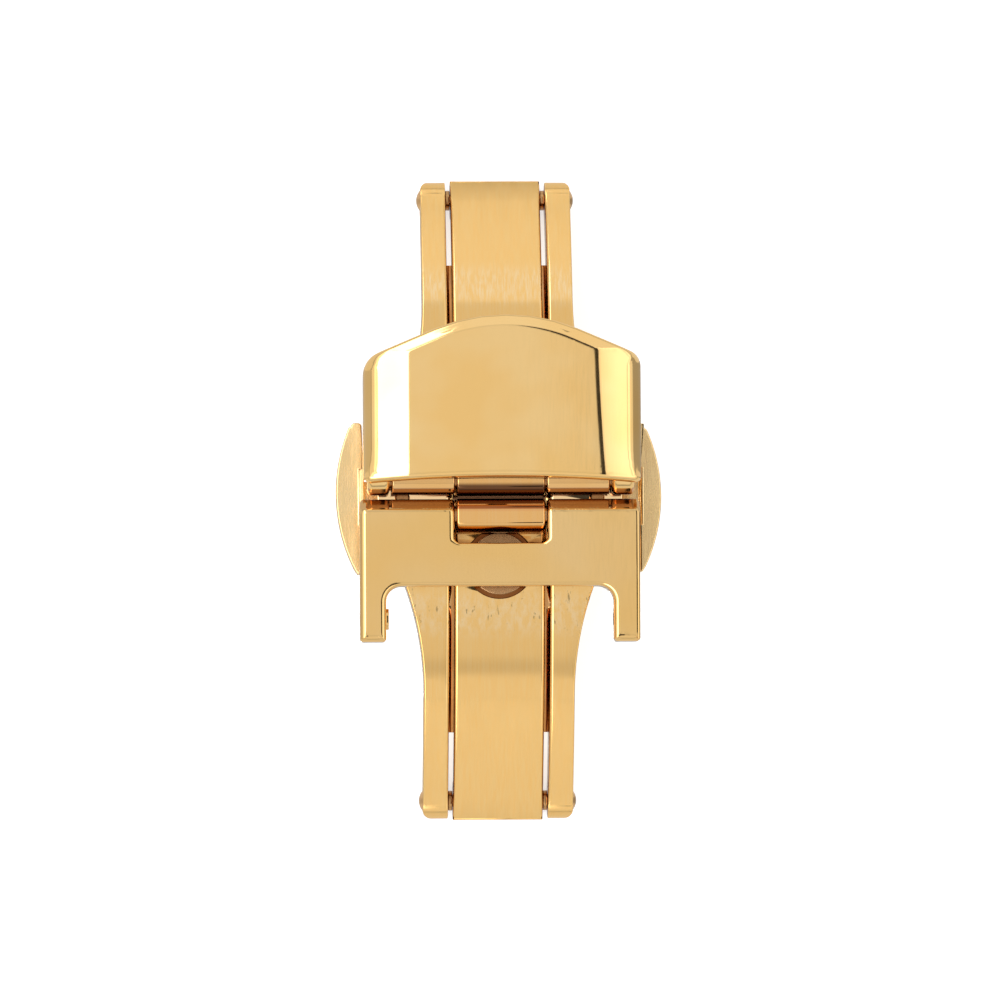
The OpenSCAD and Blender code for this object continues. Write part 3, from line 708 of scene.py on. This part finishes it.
def prism(outline, low, high):
    """An outline in X and Y drawn up from the height low to high."""
    work = bmesh.new()
    rings = [[work.verts.new(Vector((*p, z)) * MM) for p in outline] for z in (low, high)]
    strip(work, *rings)
    for ring in rings:
        work.faces.new(ring)
    return finish_mesh(work, "tool")


def bar(outline, x_low, x_high, rounding, name="tool"):
    """An outline in Y and Z drawn out along X, with rounded ends."""
    work = bmesh.new()
    normals = outward(outline)
    rings = []
    steps = 4
    for x_end, side in ((x_low, 1), (x_high, -1)):
        turns = [math.pi / 2 * i / steps for i in range(steps + 1)]
        if side < 0:
            turns.reverse()
        for turn in turns:
            inset = rounding * (1 - math.sin(turn))
            x = x_end + side * rounding * (1 - math.cos(turn))
            rings.append([work.verts.new(Vector((x, p[0] - n[0] * inset, p[1] - n[1] * inset))
                                         * MM) for p, n in zip(outline, normals)])
    for a, b in zip(rings, rings[1:]):
        strip(work, a, b)
    work.faces.new(rings[0])
    work.faces.new(rings[-1])
    return finish_mesh(work, name)


def rod(y, z, r, x_low, x_high, rounding, name="tool"):
    """A round bar along X."""
    sides = 64
    return bar(arc(y, z, r, 0, 360 - 360 / sides, sides - 1), x_low, x_high, rounding, name)


# The cover: a crowned top with side slopes and an arch bevel, flanks and ears

COVER_X = 0.11  # how far the whole cover sits to the right
COVER_HALF = 9.87
COVER_TOP = 13.551
COVER_CEILING = 12.351
COVER_LOW = 9.6014
COVER_NEAR = 0.73
COVER_HOLLOW = 0.4  # how far the near edge bends in
COVER_WALL = 1.6
CREASE_LEFT, CREASE_RIGHT = 6.55, 6.65
BEVEL_WIDTH = 0.85
ARCH_R = 13.1
ARCH_TURN = 22.9  # degrees to each side, beyond which the arch runs on straight
ARCH_LEAN = math.radians(ARCH_TURN)
ARCH_X = 0.25
ARCH_Y = 12.7 - ARCH_R


def arch_gap(x, y):
    """Distance inwards from the arch, which runs on straight beyond its lean on both sides."""
    dx, dy = abs(x - ARCH_X), y - ARCH_Y
    if math.atan2(dx, dy) < ARCH_LEAN:
        return ARCH_R - math.hypot(dx, dy)
    return ARCH_R - dx * math.sin(ARCH_LEAN) - dy * math.cos(ARCH_LEAN)


def cover_height(x, y):
    """Height of the cover's top. The right crease leans out towards the hinge."""
    if x < 0:
        crease = CREASE_LEFT
    else:
        crease = CREASE_RIGHT + 0.5 * (max(0, 11 - y) / 10) ** 1.5
    side = ease(abs(x) - crease, 0.22)
    slope = 0.185 * side + 0.012 * side ** 2
    bevel = 0.5 * ease(BEVEL_WIDTH - arch_gap(x, y), 0.1)
    crown = 0.04 * (x / 7) ** 2 + 0.05 * ((y - 6.5) / 6) ** 2
    return COVER_TOP - slope - ease(bevel - slope, 0.04) - crown


def make_cover():
    """The slab under cover_height, hollowed, with the two ears added and bored."""
    far_x = ARCH_R * math.sin(ARCH_LEAN)
    far_y = ARCH_Y + ARCH_R * math.cos(ARCH_LEAN)
    corner_y = far_y - (COVER_HALF - far_x) * math.tan(ARCH_LEAN)
    near_y = COVER_NEAR + COVER_HOLLOW
    shift = ARCH_X * math.tan(ARCH_LEAN)
    corners = rounded_outline([(-COVER_HALF, COVER_NEAR, 0.5), (COVER_HALF, COVER_NEAR, 0.5),
                               (COVER_HALF, corner_y + shift, 1.1),
                               (ARCH_X, corner_y + COVER_HALF * math.tan(ARCH_LEAN), ARCH_R),
                               (-COVER_HALF, corner_y - shift, 1.6)])
    outline = []
    for x, y in corners:
        if y < COVER_NEAR + 0.001:
            y = near_y - COVER_HOLLOW * (x / (COVER_HALF - 0.5)) ** 2
        outline.append((x, y))
    fillets = []
    for x, y in outline:
        if y < 1.25:
            fillets.append(0.55)
        elif arch_gap(x, y) < 0.02:
            fillets.append(0.15)
        else:
            fillets.append(1.1)
    # Closer points along the two creases and along the edge of the arch's bevel
    lines = [(side * (7 + k * 0.08), 1.2 + 0.25 * i)
             for side in (-1, 1) for k in range(-7, 8) for i in range(44)]
    for gap in (0.7, 0.75, 0.8, 0.85, 0.9, 0.95, 1):
        lines += arc(ARCH_X, ARCH_Y, ARCH_R - gap, 90 - ARCH_TURN, 90 + ARCH_TURN, 60)
        for side in (-1, 1):
            end = Vector((ARCH_X + side * (far_x - gap * math.sin(ARCH_LEAN)),
                          far_y - gap * math.cos(ARCH_LEAN)))
            run = Vector((side * math.cos(ARCH_LEAN), -math.sin(ARCH_LEAN)))
            lines += [tuple(end + run * 0.2 * k) for k in range(1, 28)]
    outline = [(x + COVER_X, y) for x, y in outline]
    lines = [(x + COVER_X, y) for x, y in lines]
    cover = slab("cover_shell", outline, lambda x, y: cover_height(x - COVER_X, y),
                 lambda x, y: COVER_LOW, smoothed(fillets, 10), [0.15] * len(outline), 0.42,
                 lines)
    y, z = UPPER_HINGE
    wall = COVER_HALF - COVER_WALL
    inside = prism([(-12, -5), (12, -5), (12, y), (wall, y), (wall, 20), (-wall, 20), (-wall, y),
                    (-12, y)], 5, COVER_CEILING)
    boolean(cover, inside, "DIFFERENCE")
    ear = arc(y, z, KNUCKLE_R, 180, 360, 28) + [
        (y + KNUCKLE_R, 11.6), (y + 0.98, 12.6), (y + 0.1, 12.6), (y - 0.7, 12.1),
        (y - KNUCKLE_R, 11.3)]
    for x in (-9.5, 7.9):
        boolean(cover, bar(ear, x, x + 1.6, 0.35), "UNION")
    boolean(cover, rod(y, z, HEAD_BORE_R, -11, 11, 0.01), "DIFFERENCE")
    return cover


# The strap frame: an upside-down U with a barrel along its hinge and a notch for the knuckle

FRAME_HALF = 9.95
FRAME_X = 0.09  # how far the outer parts sit to the left
SPRING_BAR_Y = -8.87


def make_frame():
    """The slab with its barrel and hinge bevel, bosses on the legs and all bores."""
    y, z = LOWER_HINGE
    far, bar_y, end_y, notch_y = y + KNUCKLE_R, -6.55, -10.5, -3.5
    leg, notch = FRAME_HALF - 1.86, 3.28

    def half_thickness(at):
        if at <= y:
            return KNUCKLE_R
        return max(0.01, math.sqrt(max(0, KNUCKLE_R ** 2 - (at - y) ** 2)))

    def face(_, py):
        return z + min(half_thickness(py), KNUCKLE_R - 1.1 * ease(py - y - 0.32, 0.07))

    outline = rounded_outline([
        (-FRAME_HALF, end_y, 0.25), (-leg, end_y, 0.25), (-leg, bar_y, 1.1),
        (leg, bar_y, 1.1), (leg, end_y, 0.25), (FRAME_HALF, end_y, 0.25), (FRAME_HALF, far, 0.3),
        (notch, far, 0.25), (notch, notch_y, 0.4), (-notch, notch_y, 0.4), (-notch, far, 0.25),
        (-FRAME_HALF, far, 0.3)], 0.25)
    fillets = []
    for px, py in outline:
        if abs(px) > FRAME_HALF - 0.1:
            fillets.append(0.45 if px < 0 else 0.2)
        elif py < end_y + 0.1:
            fillets.append(0.6)
        elif abs(px) < notch + 0.02 and py > notch_y + 0.2:
            fillets.append(0.34)
        elif py > far - 0.05:
            fillets.append(0.05)
        elif py < bar_y + 0.05:
            fillets.append(0.33)
        else:
            fillets.append(0.2)
    outline = [(px - FRAME_X * min(1, max(0, abs(px) - 4)), py) for px, py in outline]
    # Closer points along the barrel and its bevel
    lines = [(-FRAME_HALF + 0.25 * i, y + KNUCKLE_R * math.sin(math.radians(a)))
             for i in range(80) for a in (8, 11, 14, 17, 20, 24, 36, 44, 52, 60, 66, 72)]
    frame_piece = slab("strap_frame_shell", outline, face,
                       lambda px, py: z - half_thickness(py), smoothed(fillets, 3),
                       [0.12] * len(outline), 0.2, [p for p in lines if abs(p[0]) > notch])
    for side in (-1, 1):
        low, high = sorted((side * (leg - 0.1), side * (leg + 0.4)))
        boolean(frame_piece, rod(SPRING_BAR_Y, z, 0.75, low, high, 0.04), "UNION")
        low, high = sorted((side * 3, side * 11))
        boolean(frame_piece, rod(SPRING_BAR_Y, z, 0.5, low, high, 0.01), "DIFFERENCE")
        boolean(frame_piece, rod(y, z, HEAD_BORE_R, low, high, 0.01), "DIFFERENCE")
    return frame_piece


# The buttons: the CAD's slide and stem with a flat crescent wing

WING_Z = (5.209, 7.209)


def make_button(side):
    """The left (-1) or right (1) button."""
    name = "left_button" if side < 0 else "right_button"
    if side < 0:
        inner, centre_x, centre_y, r, top, low = 9.8, -0.65, 0.3, 12.29, 5.3, -5.55
    else:
        inner, centre_x, centre_y, r, top, low = 10.1, -0.15, 0, 11.79, 5.2, -5.4
    ends = [math.degrees(math.asin((y - centre_y) / r)) for y in (low, top)]
    crescent = arc(centre_x, centre_y, r, ends[0], ends[1], 40)
    tips = crescent[0], crescent[-1]
    corners = [(inner, low, 0.06), (*tips[0], 0.1), (*tips[1], 0.08 if side > 0 else 0.3),
               (inner, top, 0.06 if side > 0 else 0.25)]
    outline = []
    for x, y in rounded_outline(corners, 0.2):
        half = tips[0][0] + (tips[1][0] - tips[0][0]) * (y - low) / (top - low)
        if x > inner + 0.01 and abs(x - half) < 0.02 and low + 0.2 < y < top - 0.3:
            x = centre_x + math.sqrt(r * r - (y - centre_y) ** 2)
        outline.append((x, y))
    outline = [(side * x, y) for x, y in outline]
    if side < 0:
        outline.reverse()
    button = cad_copy(name, name + "_shell")
    cut = [(inner + 0.2, -9), (14, -9), (14, 9), (inner - 0.01, 9), (inner - 0.01, 2),
           (inner + 0.2, 2)]
    low_cut = [(inner - 0.01, -9), (14, -9), (14, -2), (inner - 0.01, -2)]
    for tool in (cut, low_cut):
        tool = [(side * x, y) for x, y in tool]
        if side < 0:
            tool.reverse()
        boolean(button, prism(tool, 3, 9), "DIFFERENCE")
    boolean(button, prism(outline, *WING_Z), "UNION")
    return rounded(button, wing_edge)


# The end washers, which fill the gap between rail and blade round each end pin

WASHER_X = (3.27, 3.57)
WASHER_R = 0.72


def make_washers():
    """The four washers as one piece."""
    pieces = []
    for way in (-1, 1):
        for side in (-1, 1):
            low, high = sorted(side * x for x in WASHER_X)
            pieces.append(rod(way * END_PIN[0], END_PIN[1], WASHER_R, low, high, 0.05,
                              "end_pin_washers_shell"))
    washers = pieces[0]
    for piece in pieces[1:]:
        boolean(washers, piece, "UNION")
    return washers


# The blades, whose ends bulge over the end pins in the CAD

BLADE_R = 39.05
BLADE_END_Y = 18


def make_blade(node):
    """The CAD blade with its ends pressed flush with its curved top."""
    piece = cad_copy(node, node + "_shell")
    for vertex in piece.data.vertices:
        y, z = vertex.co.y / MM, vertex.co.z / MM - CURVE_Z
        far = math.hypot(y, z)
        if far > BLADE_R and abs(y) > BLADE_END_Y:
            vertex.co.y *= BLADE_R / far
            vertex.co.z = (z * BLADE_R / far + CURVE_Z) * MM
    return rounded(piece, blade_edge)


# The return springs, with their fixed ends and the share of length that a press leaves

PRESS = 0.6


def make_return_spring(side):
    """The left (-1) or right (1) coil, its fixed end's X and the share that a press leaves."""
    node = "left_return_spring" if side < 0 else "right_return_spring"
    piece = cad_copy(node, node + "_shell")
    for face in piece.data.polygons:
        face.use_smooth = True
    ends = sorted((side * vertex.co.x for vertex in piece.data.vertices))
    return piece, side * ends[0], 1 - PRESS * MM / (ends[-1] - ends[0])


# All pieces, each on its node's body and in its node's slot

ROUNDED = {
    "base_frame": base_edge, "strap_plate": plate_edge, "back_plate": fine_edge,
    "upper_catch_stud": fine_edge, "lower_catch_stud": fine_edge,
}
slot_of = {p["node"]: p["material_slot"] for p in frame["record"]["subparts"]}
body_of = {n: b for b, ns in frame["record"]["behaviour"]["bodies"].items() for n in ns}
MADE = {
    "cover": make_cover, "strap_frame": make_frame, "end_pin_washers": make_washers,
    "left_button": lambda: make_button(-1), "right_button": lambda: make_button(1),
    "upper_blade": lambda: make_blade("upper_blade"),
    "lower_blade": lambda: make_blade("lower_blade"),
}
for node, part in frame["nodes"].items():
    look = NODE_LOOKS.get(node, SLOT_LOOKS[slot_of[node]])
    if node in ROUNDED or node in MADE:
        if node in MADE:
            piece = MADE[node]()
        else:
            piece = rounded(cad_copy(node, node + "_shell"), ROUNDED[node],
                            merge=0 if node == "back_plate" else 0.4)
        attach(piece, body_of[node])
        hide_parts(node)
    else:
        piece = part
        for face in part.data.polygons:
            face.use_smooth = True
    piece.data.materials.clear()
    piece.data.materials.append(look)
for side, node in ((-1, "left_return_spring"), (1, "right_return_spring")):
    piece, fixed, share = make_return_spring(side)
    piece.data.materials.append(wire)
    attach(piece, body_of[node])
    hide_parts(node)
    node.split("_")[0] + "_button_press"
    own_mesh(piece)


# Floor

def make_floor():
    """A pale sheet just under the clasp, bright enough to look white."""
    mesh = bpy.data.meshes.new("floor")
    work = bmesh.new()
    bmesh.ops.create_grid(work, x_segments=8, y_segments=8, size=3)
    work.to_mesh(mesh)
    work.free()
    floor = added("floor", mesh)
    floor.location.z = -0.02 * MM
    look = Look("floor_pale")
    grain = look.noise((0.02, 0.02, 0.02), detail=2)
    colour = look.colours(grain, (0.3, (0.6, 0.6, 0.6)), (0.7, (0.63, 0.63, 0.63)))
    look.link(colour, look.shader.inputs["Base Color"])
    look.shader.inputs["Roughness"].default_value = 0.9
    look.shader.inputs["Specular IOR Level"].default_value = 0.1
    look.shader.inputs["Emission Color"].default_value = (1, 1, 1, 1)
    look.shader.inputs["Emission Strength"].default_value = 0.65
    floor.data.materials.append(look.material)
    floor.visible_glossy = False


make_floor()


# Camera, at the photograph's angle: a little to the left and below of straight above

TARGET = Vector((0.06, -0.29, 8)) * MM
LEFT, BELOW, ROLL = (math.radians(degrees) for degrees in (2, 2.5, 0.29))
AWAY = 0.6
SEEN = 0.07143  # the width of the picture at the target
SENSOR = 36

tilt = Vector((-math.sin(LEFT), -math.sin(BELOW), 1)).normalized()
camera = added("camera", bpy.data.cameras.new("camera"))
right = Vector((math.sin(ROLL), math.cos(ROLL), 0)).cross(tilt).normalized()
up = tilt.cross(right)
camera.matrix_world = Matrix((right, up, tilt)).transposed().to_4x4()
camera.location = TARGET + tilt * AWAY
camera.data.sensor_width = SENSOR
camera.data.lens = SENSOR * AWAY / SEEN
bpy.context.scene.camera = camera


# Light: a pale tent with cards and softboxes in it, and two lamps for the floor

class Tent:
    """World whose brightness depends on the direction, as slopes x/z and y/z."""

    def __init__(self, level):
        world = bpy.data.worlds.new("tent")
        bpy.context.scene.world = world
        world.use_nodes = True
        self.tree = world.node_tree
        self.out = self.tree.nodes["Background"]
        self.out.inputs["Color"].default_value = (1, 1, 1, 1)
        place = self.tree.nodes.new("ShaderNodeTexCoord").outputs["Generated"]
        split = self.tree.nodes.new("ShaderNodeSeparateXYZ")
        self.tree.links.new(place, split.inputs[0])
        height = self.math("MAXIMUM", split.outputs["Z"], 0.02)
        self.x = self.math("DIVIDE", split.outputs["X"], height)
        self.y = self.math("DIVIDE", split.outputs["Y"], height)
        self.z = split.outputs["Z"]
        self.level = level

    def math(self, kind, a, b):
        """A sum of two values, each a socket or a number."""
        node = self.tree.nodes.new("ShaderNodeMath")
        node.operation = kind
        for value, socket in ((a, node.inputs[0]), (b, node.inputs[1])):
            if isinstance(value, (int, float)):
                socket.default_value = value
            else:
                self.tree.links.new(value, socket)
        return node.outputs[0]

    def panel(self, level, x=None, y=None, z=None, soft=0.05):
        """Sets the level inside a window of slopes, with soft edges."""
        mask = None
        for value, span in ((self.x, x), (self.y, y), (self.z, z)):
            if span is None:
                continue
            low, high = span
            inside = self.math("MULTIPLY",
                               smooth_step(self.tree, value, low - soft, low + soft),
                               smooth_step(self.tree, value, high - soft, high + soft, False))
            mask = inside if mask is None else self.math("MULTIPLY", mask, inside)
        keep = self.math("MULTIPLY", self.level, self.math("SUBTRACT", 1, mask))
        self.level = self.math("ADD", keep, self.math("MULTIPLY", mask, level))

    def finish(self):
        """Wires the level to the world's strength."""
        self.tree.links.new(self.level, self.out.inputs["Strength"])


tent = Tent(0.93)
# Softboxes on both sides, then the dim surroundings near the floor
tent.panel(1.6, x=(-9, -0.85), z=(0.55, 1))
tent.panel(1.6, x=(0.9, 9), z=(0.55, 1))
tent.panel(0.4, z=(-1.1, 0.25), soft=0.08)
tent.panel(0.62, x=(-60, -6), z=(-1.1, 0.3), soft=0.1)
tent.panel(0.8, y=(-60, -8), z=(-1.1, 0.4), soft=0.06)
tent.panel(0.8, y=(8, 60), z=(-1.1, 0.4), soft=0.06)
# Cards overhead, which the flat faces mirror
tent.panel(0.87, y=(-3, -0.7), z=(0.3, 1), soft=0.04)
tent.panel(0.78, x=(-0.72, 0.8), y=(-0.74, 1.03), soft=0.02)
tent.panel(0.66, x=(-0.72, 0.8), y=(-0.74, -0.66), soft=0.04)
tent.panel(0.86, x=(-0.35, 0.35), y=(-0.35, 0.5), soft=0.3)
# Two bright strips for the cover's left slope, and pale and dark ones for its right slope
tent.panel(4, x=(-0.7, -0.24), y=(-1.2, 0.8), soft=0.04)
tent.panel(4, x=(-0.9, -0.46), y=(0.7, 1.8), soft=0.06)
tent.panel(1.05, x=(0.33, 0.8), y=(-1.2, 0.9), soft=0.04)
tent.panel(1.6, x=(0.5, 0.75), y=(-1.2, 0.9), soft=0.08)
tent.panel(0.05, x=(0.1, 0.33), y=(-0.8, 0.8), soft=0.03)
tent.finish()


def lamp(name, place, size, level):
    """A soft square lamp that looks at the clasp."""
    data = bpy.data.lights.new(name, "AREA")
    data.size = size
    data.energy = level * math.pi * size * size
    light = added(name, data)
    light.location = place
    light.rotation_euler = Vector(place).to_track_quat("Z", "Y").to_euler()
    light.visible_camera = False
    light.visible_glossy = False


lamp("key_lamp", (-0.25, 0.12, 0.45), 0.25, 0.6)
lamp("fill_lamp", (0.3, -0.1, 0.4), 0.3, 0.3)
bpy.context.scene.view_settings.view_transform = "Standard"
